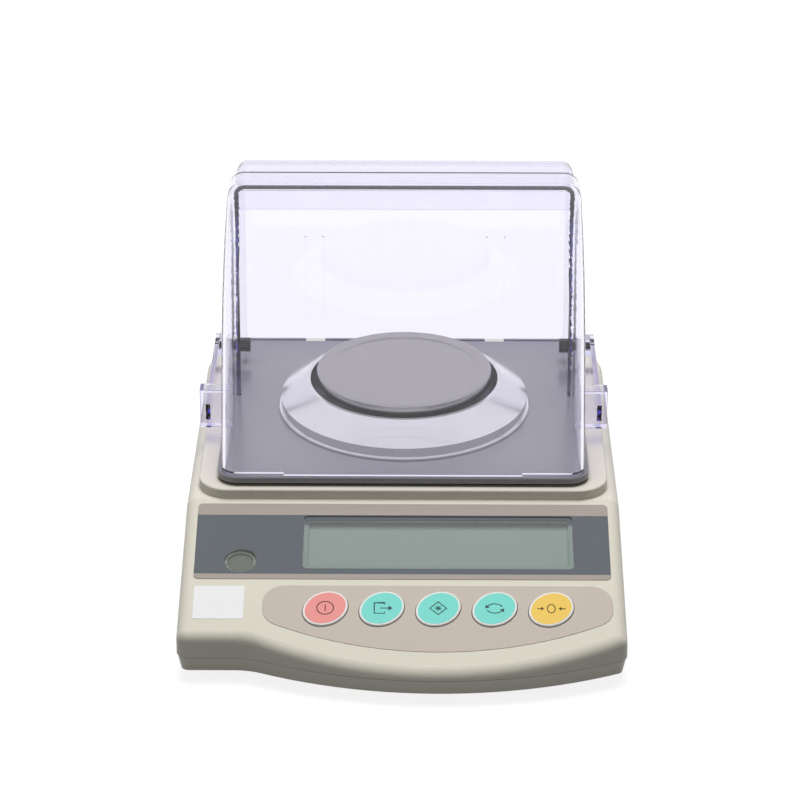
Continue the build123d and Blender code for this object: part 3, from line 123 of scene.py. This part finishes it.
def deck_matrix(x, run, rise):
    """Frame on the deck: local X to the right, local Y up the slope, local Z out of the deck."""
    place = DECK_REAR + Vector((x, 0, 0)) - DECK_UP_SLOPE * run + DECK_NORMAL * rise
    turn = Matrix((Vector((1, 0, 0)), DECK_UP_SLOPE, DECK_NORMAL)).transposed().to_4x4()
    return Matrix.Translation(place) @ turn


class Surface:
    """A node material with one principled shader and short ways to add detail."""

    def __init__(self, name, color, roughness, metallic=0.0):
        self.material = bpy.data.materials.new(name)
        self.material.use_nodes = True
        self.nodes = self.material.node_tree.nodes
        self.links = self.material.node_tree.links
        self.nodes.clear()
        self.output = self.add("ShaderNodeOutputMaterial")
        self.shader = self.add("ShaderNodeBsdfPrincipled")
        self.link(self.shader.outputs["BSDF"], self.output.inputs["Surface"])
        self.shader.inputs["Base Color"].default_value = (*color, 1)
        self.shader.inputs["Roughness"].default_value = roughness
        self.shader.inputs["Metallic"].default_value = metallic
        self.material.diffuse_color = (*color, 1)
        self.color = color
        self.roughness = roughness
        self.coordinates = self.add("ShaderNodeTexCoord").outputs["Object"]

    def add(self, kind, **settings):
        node = self.nodes.new(kind)
        for key, value in settings.items():
            setattr(node, key, value)
        return node

    def link(self, source, target):
        self.links.new(source, target)

    def set(self, **inputs):
        """Set shader sockets by name, underscores for spaces."""
        for key, value in inputs.items():
            self.shader.inputs[key.replace("_", " ")].default_value = value

    def math(self, operation, first, second):
        node = self.add("ShaderNodeMath", operation=operation)
        for socket, value in zip(node.inputs, (first, second)):
            if isinstance(value, (int, float)):
                socket.default_value = value
            else:
                self.link(value, socket)
        return node.outputs[0]

    def noise(self, scale, detail=2.0, stretch=(1, 1, 1)):
        """Noise value over the object, features of about one over the scale in metres."""
        mapping = self.add("ShaderNodeMapping")
        mapping.inputs["Scale"].default_value = stretch
        self.link(self.coordinates, mapping.inputs["Vector"])
        texture = self.add("ShaderNodeTexNoise")
        texture.inputs["Scale"].default_value = scale
        texture.inputs["Detail"].default_value = detail
        self.link(mapping.outputs["Vector"], texture.inputs["Vector"])
        return texture.outputs["Fac"]

    def vary(self, value, spread):
        """Let the colour drift a little with a value."""
        dark = tuple(part * (1 - spread) for part in self.color)
        light = tuple(min(1.0, part * (1 + spread)) for part in self.color)
        self.blend(dark, light, value)

    def blend(self, first_color, second_color, value):
        """Colour between two colours by a value, into the base colour."""
        mix = self.add("ShaderNodeMix", data_type="RGBA")
        mix.inputs["A"].default_value = (*first_color, 1)
        mix.inputs["B"].default_value = (*second_color, 1)
        self.link(value, mix.inputs["Factor"])
        self.link(mix.outputs["Result"], self.shader.inputs["Base Color"])

    def roughen(self, value, spread):
        """Let the roughness drift with a value."""
        span = self.add("ShaderNodeMapRange")
        span.inputs["To Min"].default_value = max(0.0, self.roughness - spread)
        span.inputs["To Max"].default_value = min(1.0, self.roughness + spread)
        self.link(value, span.inputs["Value"])
        self.link(span.outputs["Result"], self.shader.inputs["Roughness"])

    def bump(self, value, depth, strength):
        """Fine relief from a value, depth in metres."""
        node = self.add("ShaderNodeBump")
        node.inputs["Strength"].default_value = strength
        node.inputs["Distance"].default_value = depth
        self.link(value, node.inputs["Height"])
        self.link(node.outputs["Normal"], self.shader.inputs["Normal"])

    def radius_about_pan(self):
        """Distance from the pan's axis."""
        shift = self.add("ShaderNodeVectorMath", operation="SUBTRACT")
        self.link(self.coordinates, shift.inputs[0])
        shift.inputs[1].default_value = (0, PAN_AXIS_Y, 0)
        flat = self.add("ShaderNodeVectorMath", operation="MULTIPLY")
        self.link(shift.outputs[0], flat.inputs[0])
        flat.inputs[1].default_value = (1, 1, 0)
        length = self.add("ShaderNodeVectorMath", operation="LENGTH")
        self.link(flat.outputs[0], length.inputs[0])
        return length.outputs["Value"]

    def run_down_deck(self):
        """Distance down the slope from the top of the deck."""
        shift = self.add("ShaderNodeVectorMath", operation="SUBTRACT")
        self.link(self.coordinates, shift.inputs[0])
        shift.inputs[1].default_value = DECK_REAR
        dot = self.add("ShaderNodeVectorMath", operation="DOT_PRODUCT")
        self.link(shift.outputs[0], dot.inputs[0])
        dot.inputs[1].default_value = -DECK_UP_SLOPE
        return dot.outputs["Value"]


def moulded_plastic(name, color, roughness=0.5):
    """Moulded plastic with a fine grain."""
    surface = Surface(name, color, roughness)
    surface.vary(surface.noise(scale=26, detail=3), spread=0.02)
    surface.bump(surface.noise(scale=1400, detail=3), depth=0.06 * MM, strength=0.35)
    surface.roughen(surface.noise(scale=90), spread=0.05)
    return surface.material


def printed_sheet(name, color, band_color=None):
    """Membrane sheet, with a darker band printed across it where a band colour is given."""
    surface = Surface(name, color, 0.34)
    if band_color:
        run = surface.run_down_deck()
        below_top = surface.math("GREATER_THAN", run, BAND_TOP_RUN)
        above_low = surface.math("LESS_THAN", run, BAND_LOW_RUN)
        surface.blend(color, band_color, surface.math("MULTIPLY", below_top, above_low))
    surface.bump(surface.noise(scale=2600), depth=0.03 * MM, strength=0.25)
    surface.roughen(surface.noise(scale=60), spread=0.04)
    return surface.material


def clear_plastic(name, tint, density):
    """Clear moulding: refracts, takes its tint from its depth, and lets lamp light through."""
    surface = Surface(name, WHITE, 0.02)
    surface.set(IOR=ACRYLIC_IOR, Transmission_Weight=1.0)
    volume = surface.add("ShaderNodeVolumeAbsorption")
    volume.inputs["Color"].default_value = (*tint, 1)
    volume.inputs["Density"].default_value = density
    surface.link(volume.outputs["Volume"], surface.output.inputs["Volume"])
    path = surface.add("ShaderNodeLightPath")
    clear = surface.add("ShaderNodeBsdfTransparent")
    clear.inputs["Color"].default_value = (*SHADOW_TINT, 1)
    mix = surface.add("ShaderNodeMixShader")
    surface.link(path.outputs["Is Shadow Ray"], mix.inputs["Fac"])
    surface.link(surface.shader.outputs["BSDF"], mix.inputs[1])
    surface.link(clear.outputs["BSDF"], mix.inputs[2])
    surface.link(mix.outputs["Shader"], surface.output.inputs["Surface"])
    surface.bump(surface.noise(scale=14), depth=0.2 * MM, strength=0.05)
    return surface.material


def turned_metal(name, color, roughness):
    """Metal turned about the pan's axis: fine rings that stretch the highlights."""
    surface = Surface(name, color, roughness, metallic=1.0)
    rings = surface.add("ShaderNodeTexNoise", noise_dimensions="1D")
    rings.inputs["Scale"].default_value = 4200
    rings.inputs["Detail"].default_value = 3
    surface.link(surface.radius_about_pan(), rings.inputs["W"])
    surface.bump(rings.outputs["Fac"], depth=0.02 * MM, strength=0.25)
    surface.vary(rings.outputs["Fac"], spread=0.05)
    surface.roughen(surface.noise(scale=160, detail=3), spread=0.04)
    return surface.material


def brushed_metal(name, color, roughness):
    """Metal brushed from side to side."""
    surface = Surface(name, color, roughness, metallic=1.0)
    lines = surface.noise(scale=1, detail=3, stretch=(60, 3600, 3600))
    surface.bump(lines, depth=0.02 * MM, strength=0.3)
    surface.vary(lines, spread=0.08)
    surface.roughen(lines, spread=0.06)
    return surface.material


def plain_metal(name, color, roughness):
    """Metal without a direction."""
    surface = Surface(name, color, roughness, metallic=1.0)
    surface.roughen(surface.noise(scale=400, detail=3), spread=0.08)
    surface.bump(surface.noise(scale=900), depth=0.02 * MM, strength=0.2)
    return surface.material


def painted_plate(name, color):
    """Smooth painted plate that shows a soft image of what stands on it."""
    surface = Surface(name, color, 0.22)
    surface.set(Specular_IOR_Level=0.8)
    surface.bump(surface.noise(scale=700, detail=3), depth=0.02 * MM, strength=0.2)
    surface.vary(surface.noise(scale=18), spread=0.03)
    return surface.material


def rubber(name, color):
    """Matt rubber of the foot pads."""
    surface = Surface(name, color, 0.75)
    surface.bump(surface.noise(scale=1200, detail=3), depth=0.1 * MM, strength=0.5)
    surface.vary(surface.noise(scale=120), spread=0.2)
    return surface.material


def circuit_board(name):
    """Green lacquer over copper tracks."""
    surface = Surface(name, BOARD_COLOR, 0.35)
    fields = surface.add("ShaderNodeTexVoronoi", feature="DISTANCE_TO_EDGE")
    fields.inputs["Scale"].default_value = 260
    surface.link(surface.coordinates, fields.inputs["Vector"])
    track = surface.math("LESS_THAN", fields.outputs["Distance"], 0.06)
    surface.blend(BOARD_COLOR, BOARD_TRACK_COLOR, track)
    surface.bump(track, depth=0.04 * MM, strength=0.4)
    return surface.material


def clear_cover(name, color):
    """Thin clear cover over what lies close under it: lets light through and mirrors a little."""
    surface = Surface(name, color, 0.05)
    clear = surface.add("ShaderNodeBsdfTransparent")
    clear.inputs["Color"].default_value = (*color, 1)
    mirror = surface.add("ShaderNodeBsdfGlossy")
    mirror.inputs["Roughness"].default_value = 0.06
    edge_on = surface.add("ShaderNodeFresnel")
    edge_on.inputs["IOR"].default_value = COVER_IOR
    mix = surface.add("ShaderNodeMixShader")
    surface.link(edge_on.outputs["Fac"], mix.inputs["Fac"])
    surface.link(clear.outputs["BSDF"], mix.inputs[1])
    surface.link(mirror.outputs["BSDF"], mix.inputs[2])
    surface.link(mix.outputs["Shader"], surface.output.inputs["Surface"])
    return surface.material


def display_glass(name):
    """Unlit reflective display: grey-green, with painted shade of the window's recess along its upper
    edge.
    """
    surface = Surface(name, LCD_COLOR, 0.3)
    painted_shade = surface.add("ShaderNodeMapRange", interpolation_type="SMOOTHSTEP")
    painted_shade.inputs["From Min"].default_value = LCD_PAINTED_SHADE_RUN
    painted_shade.inputs["From Max"].default_value = LCD_PAINTED_SHADE_END_RUN
    surface.link(surface.run_down_deck(), painted_shade.inputs["Value"])
    surface.blend(LCD_PAINTED_SHADE_COLOR, LCD_COLOR, painted_shade.outputs["Result"])
    surface.roughen(surface.noise(scale=300), spread=0.04)
    return surface.material


materials = {
    "case_plastic": moulded_plastic("case_plastic", (0.69, 0.66, 0.565), 0.42),
    "overlay": printed_sheet("overlay", (0.36, 0.315, 0.28), (0.095, 0.108, 0.124)),
    "key_sheet": printed_sheet("key_sheet", (0.53, 0.47, 0.41)),
    "display_window": clear_cover("display_window", (0.93, 0.95, 0.94)),
    "lcd_glass": display_glass("lcd_glass"),
    "dark_plastic": moulded_plastic("dark_plastic", (0.022, 0.022, 0.025), 0.5),
    "circuit_board": circuit_board("circuit_board"),
    "screw_steel": plain_metal("screw_steel", (0.55, 0.55, 0.56), 0.35),
    "white_plastic": moulded_plastic("white_plastic", (0.62, 0.62, 0.60), 0.5),
    "level_fluid": moulded_plastic("level_fluid", (0.27, 0.27, 0.265), 0.15),
    "clear_lens": clear_cover("clear_lens", (0.80, 0.83, 0.80)),
    "plate_metal": painted_plate("plate_metal", (0.185, 0.182, 0.19)),
    "clear_plastic": clear_plastic("clear_plastic", (0.40, 0.34, 0.85), 58),
    "pin_metal": plain_metal("pin_metal", (0.02, 0.02, 0.022), 0.35),
    "ring_metal": turned_metal("ring_metal", (0.80, 0.79, 0.81), 0.20),
    "pan_steel": brushed_metal("pan_steel", (0.42, 0.405, 0.415), 0.24),
    "machined_aluminium": plain_metal("machined_aluminium", (0.74, 0.75, 0.76), 0.3),
    "cast_metal": plain_metal("cast_metal", (0.6, 0.6, 0.61), 0.5),
    "socket_shell": plain_metal("socket_shell", (0.62, 0.61, 0.58), 0.3),
    "contact_brass": plain_metal("contact_brass", (0.80, 0.62, 0.30), 0.25),
    "key_plastic": moulded_plastic("key_plastic", (0.80, 0.79, 0.77), 0.32),
    "foot_rubber": rubber("foot_rubber", (0.028, 0.028, 0.03)),
    "wheel_plastic": moulded_plastic("wheel_plastic", (0.03, 0.03, 0.033), 0.45),
}
node_materials = {"key_overlay": "key_sheet", "pivot_nuts": "pin_metal"}
for row in frame["record"]["subparts"]:
    name = node_materials.get(row["node"], row["material_slot"])
    for slot in nodes[row["node"]].material_slots:
        slot.material = materials[name]


def piece_from(bm, name, matrix, material, body):
    """Finish a mesh as a named piece that rides on a body."""
    bm.transform(matrix)
    bmesh.ops.recalc_face_normals(bm, faces=bm.faces)
    mesh = bpy.data.meshes.new(name)
    bm.to_mesh(mesh)
    bm.free()
    piece = bpy.data.objects.new(name, mesh)
    bpy.context.scene.collection.objects.link(piece)
    mesh.materials.append(material)
    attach(piece, body)


def prism(bm, outline, low, high):
    """Closed prism over a flat outline."""
    lower = [bm.verts.new((x, y, low)) for x, y in outline]
    upper = [bm.verts.new((x, y, high)) for x, y in outline]
    bm.faces.new(lower[::-1])
    bm.faces.new(upper)
    count = len(outline)
    for index in range(count):
        after = (index + 1) % count
        bm.faces.new((lower[index], lower[after], upper[after], upper[index]))


def oval(half_length, half_breadth, tilt, steps=96):
    """Points of a tilted oval."""
    points = []
    for step in range(steps):
        angle = 2 * math.pi * step / steps
        x, y = half_length * math.cos(angle), half_breadth * math.sin(angle)
        points.append(
            (x * math.cos(tilt) - y * math.sin(tilt), x * math.sin(tilt) + y * math.cos(tilt))
        )
    return points


def stroke(bm, points, width, low, high, closed=False):
    """Line of constant width through points, as one prism or as a band round a closed line."""
    count = len(points)
    left, right = [], []
    for index in range(count):
        before = points[(index - 1) % count] if closed or index else points[index]
        after = points[(index + 1) % count] if closed or index < count - 1 else points[index]
        direction = (Vector(after) - Vector(before)).normalized()
        first = (Vector(points[index]) - Vector(before)).normalized()
        cosine = max(MITRE_LIMIT, abs(direction.dot(first))) if first.length else 1.0
        across = Vector((-direction.y, direction.x)) * (width / 2 / cosine)
        left.append(Vector(points[index]) + across)
        right.append(Vector(points[index]) - across)
    rings = [
        [bm.verts.new((point.x, point.y, height)) for point in side]
        for side, height in ((left, low), (right, low), (right, high), (left, high))
    ]
    spans = range(count if closed else count - 1)
    for index in spans:
        after = (index + 1) % count
        for corner in range(4):
            one, two = rings[corner], rings[(corner + 1) % 4]
            bm.faces.new((one[index], one[after], two[after], two[index]))
    if not closed:
        bm.faces.new([ring[0] for ring in rings])
        bm.faces.new([ring[-1] for ring in reversed(rings)])


def arc_points(radius, start, end, steps=40):
    """Points on an arc about the middle, angles in degrees."""
    return [
        (
            radius * math.cos(math.radians(start + (end - start) * step / steps)),
            radius * math.sin(math.radians(start + (end - start) * step / steps)),
        )
        for step in range(steps + 1)
    ]


# Signs on the keys, drawn about the middle of each key
def sign_power(bm, low, high):
    ring = arc_points(2.7 * MM, 0, 360, 48)[:-1]
    stroke(bm, ring, LINE, low, high, closed=True)
    stroke(bm, [(0, -1.4 * MM), (0, 1.4 * MM)], LINE, low, high)


def sign_print(bm, low, high):
    box = [(1.0, 1.4), (1.0, 2.2), (-2.4, 2.2), (-2.4, -2.2), (1.0, -2.2), (1.0, -1.4)]
    stroke(bm, [(x * MM, y * MM) for x, y in box], LINE, low, high)
    stroke(bm, [(-0.6 * MM, 0), (2.4 * MM, 0)], LINE, low, high)
    prism(bm, [(2.2 * MM, 1.0 * MM), (2.2 * MM, -1.0 * MM), (3.5 * MM, 0)], low, high)


def sign_set(bm, low, high):
    corner = [(0, 2.7 * MM), (2.7 * MM, 0), (0, -2.7 * MM), (-2.7 * MM, 0)]
    stroke(bm, corner, LINE, low, high, closed=True)
    for angle in (0, 45, 90, 135):
        x = 1.15 * MM * math.cos(math.radians(angle))
        y = 1.15 * MM * math.sin(math.radians(angle))
        stroke(bm, [(-x, -y), (x, y)], THIN_LINE, low, high)


def sign_function(bm, low, high):
    for turn in (0, 180):
        points = []
        for x, y in arc_points(2.6 * MM, 20, 150, 24):
            angle = math.radians(turn)
            y *= ARROW_FLATTENING
            points.append(
                (x * math.cos(angle) - y * math.sin(angle), x * math.sin(angle) + y * math.cos(angle))
            )
        stroke(bm, points, LINE, low, high)
        tip = Vector(points[-1])
        ahead = (tip - Vector(points[-3])).normalized()
        across = Vector((-ahead.y, ahead.x))
        head = [tip + across * 0.9 * MM, tip - across * 0.9 * MM, tip + ahead * 1.2 * MM]
        prism(bm, [(point.x, point.y) for point in head], low, high)


def sign_zero(bm, low, high):
    ring = [(x * ZERO_NARROWING, y) for x, y in arc_points(1.75 * MM, 0, 360, 40)[:-1]]
    stroke(bm, ring, LINE, low, high, closed=True)
    for side in (-1, 1):
        tip = side * 2.3 * MM
        tail = side * 4.6 * MM
        stroke(bm, [(tail, 0), (tip + side * 0.8 * MM, 0)], LINE, low, high)
        prism(
            bm,
            [(tip + side * 1.0 * MM, 0.8 * MM), (tip + side * 1.0 * MM, -0.8 * MM), (tip, 0)],
            low,
            high,
        )


key_looks = [
    ("power", (0.80, 0.30, 0.28), sign_power),
    ("print", GREEN_KEY, sign_print),
    ("set", GREEN_KEY, sign_set),
    ("function", GREEN_KEY, sign_function),
    ("zero", (0.84, 0.57, 0.12), sign_zero),
]
for index, (key, color, draw) in enumerate(key_looks):
    seat = deck_matrix(KEY_FIRST_X + index * KEY_PITCH, KEY_RUN, KEY_PROUD)
    field = moulded_plastic(f"field_{key}", color, 0.36)
    bm = bmesh.new()
    outline = oval(KEY_HALF_LENGTH - KEY_BORDER, KEY_HALF_BREADTH - KEY_BORDER, KEY_TILT)
    prism(bm, outline, 0, FACE_THICKNESS)
    piece_from(bm, f"key_field_{key}", seat, field, f"key_{key}")
    ink = moulded_plastic(f"ink_{key}", tuple(INK_SHARE * part for part in color), 0.45)
    bm = bmesh.new()
    draw(bm, FACE_THICKNESS, FACE_THICKNESS + SIGN_THICKNESS)
    bm.transform(Matrix.Diagonal((SIGN_SCALE, SIGN_SCALE, 1, 1)))
    piece_from(bm, f"key_sign_{key}", seat, ink, f"key_{key}")


def rounded_rectangle(width, height, radius, steps=8):
    """Points of a rectangle with rounded corners."""
    points = []
    for corner, (side_x, side_y) in enumerate(CORNERS):
        for step in range(steps + 1):
            angle = math.radians(90 * corner + 90 * step / steps)
            points.append(
                (
                    side_x * (width / 2 - radius) + radius * math.cos(angle),
                    side_y * (height / 2 - radius) + radius * math.sin(angle),
                )
            )
    return points


# Print under the edge of the display window, over the ledge that carries it; it takes the display's
# material, so its top strip shows the painted shade of the window's recess
bm = bmesh.new()
half_width, half_height = WINDOW_SIZE / 2
outer = [(x * half_width, y * half_height) for x, y in CORNERS]
inner = [(x * (half_width - WINDOW_LEDGE), y * (half_height - WINDOW_LEDGE)) for x, y in CORNERS]
for index in range(len(CORNERS)):
    after = (index + 1) % len(CORNERS)
    prism(bm, [outer[index], outer[after], inner[after], inner[index]], 0, SIGN_THICKNESS)
window_seat = deck_matrix(WINDOW_MIDDLE.x, WINDOW_MIDDLE.y, WINDOW_PRINT_RISE)
piece_from(bm, "window_print", window_seat, materials["lcd_glass"], "case")

# Bare white sticker to the left of the keys
sticker = Surface("sticker_paper", (0.84, 0.84, 0.85), 0.55)
sticker.bump(sticker.noise(scale=900, detail=3), depth=0.04 * MM, strength=0.3)
sticker.vary(sticker.noise(scale=60), spread=0.02)
bm = bmesh.new()
outline = rounded_rectangle(STICKER_WIDTH, STICKER_HEIGHT, STICKER_RADIUS)
prism(bm, outline, 0, STICKER_THICKNESS)
sticker_seat = deck_matrix(STICKER_X, STICKER_RUN, 0)
piece_from(bm, "sticker", sticker_seat, sticker.material, "case")

# Floor, which glows white for camera, mirrors and clear plastic and keeps the shadow
floor = Surface("floor", FLOOR_COLOR, 0.9)
path = floor.add("ShaderNodeLightPath")
seen = floor.math("ADD", path.outputs["Is Camera Ray"], path.outputs["Is Glossy Ray"])
seen = floor.math("ADD", seen, path.outputs["Is Transmission Ray"])
seen = floor.math("MINIMUM", seen, 1.0)
away = floor.add("ShaderNodeVectorMath", operation="LENGTH")
floor.link(floor.coordinates, away.inputs[0])
backdrop = floor.add("ShaderNodeMapRange")
backdrop.inputs["From Min"].default_value = BACKDROP_NEAR
backdrop.inputs["From Max"].default_value = BACKDROP_FAR
backdrop.inputs["To Min"].default_value = BACKDROP_NEAR_LEVEL
backdrop.inputs["To Max"].default_value = BACKDROP_FAR_LEVEL
floor.link(away.outputs["Value"], backdrop.inputs["Value"])
glow = floor.add("ShaderNodeEmission")
glow.inputs["Color"].default_value = (*WHITE, 1)
floor.link(floor.math("MULTIPLY", seen, backdrop.outputs["Result"]), glow.inputs["Strength"])
total = floor.add("ShaderNodeAddShader")
floor.link(floor.shader.outputs["BSDF"], total.inputs[0])
floor.link(glow.outputs["Emission"], total.inputs[1])
floor.link(total.outputs["Shader"], floor.output.inputs["Surface"])
bpy.ops.mesh.primitive_plane_add(size=FLOOR_SIZE, location=(0, 0, 0))
ground = bpy.context.object
ground.name = "floor"
ground.data.materials.append(floor.material)

# World: soft light on the object, and white for camera, mirrors and clear plastic
world = bpy.data.worlds.new("studio")
bpy.context.scene.world = world
world.use_nodes = True
tree = world.node_tree
tree.nodes.clear()
out = tree.nodes.new("ShaderNodeOutputWorld")
background = tree.nodes.new("ShaderNodeBackground")
background.inputs["Color"].default_value = (*WHITE, 1)
light_path = tree.nodes.new("ShaderNodeLightPath")
seen_through = tree.nodes.new("ShaderNodeMath")
seen_through.operation = "ADD"
tree.links.new(light_path.outputs["Is Camera Ray"], seen_through.inputs[0])
tree.links.new(light_path.outputs["Is Transmission Ray"], seen_through.inputs[1])
mirrored = tree.nodes.new("ShaderNodeMath")
mirrored.operation = "MULTIPLY_ADD"
tree.links.new(light_path.outputs["Is Glossy Ray"], mirrored.inputs[0])
mirrored.inputs[1].default_value = WORLD_MIRRORED_SHARE
tree.links.new(seen_through.outputs[0], mirrored.inputs[2])
level = tree.nodes.new("ShaderNodeMapRange")
level.inputs["To Min"].default_value = WORLD_LIGHT_LEVEL
level.inputs["To Max"].default_value = WORLD_SEEN_LEVEL
tree.links.new(mirrored.outputs[0], level.inputs["Value"])
tree.links.new(level.outputs["Result"], background.inputs["Strength"])
tree.links.new(background.outputs["Background"], out.inputs["Surface"])


def area_lamp(name, place, target, size, power):
    """Soft lamp that mirrors and clear plastic do not show."""
    data = bpy.data.lights.new(name, "AREA")
    data.shape = "RECTANGLE"
    data.size, data.size_y = size
    data.energy = power
    lamp = bpy.data.objects.new(name, data)
    bpy.context.scene.collection.objects.link(lamp)
    lamp.location = place
    lamp.rotation_euler = (Vector(target) - Vector(place)).to_track_quat("-Z", "Y").to_euler()
    lamp.visible_glossy = False
    lamp.visible_transmission = False


area_lamp("top_softbox", place=(0, 0.25, 1.5), target=(0, 0.05, 0), size=(0.9, 0.7), power=25)
area_lamp("front_softbox", place=(-0.7, -1.5, 1.2), target=(0, 0, 0.05), size=(1.0, 0.8), power=1)

# Camera
camera_data = bpy.data.cameras.new("camera")
camera_data.sensor_width = CAMERA_SENSOR
camera_data.lens = CAMERA_LENS
camera = bpy.data.objects.new("camera", camera_data)
bpy.context.scene.collection.objects.link(camera)
camera.location = CAMERA_PLACE
camera.rotation_euler = (math.radians(90 - CAMERA_DIP), 0, math.radians(CAMERA_TURN))
bpy.context.scene.camera = camera
bpy.context.scene.view_settings.view_transform = "Standard"
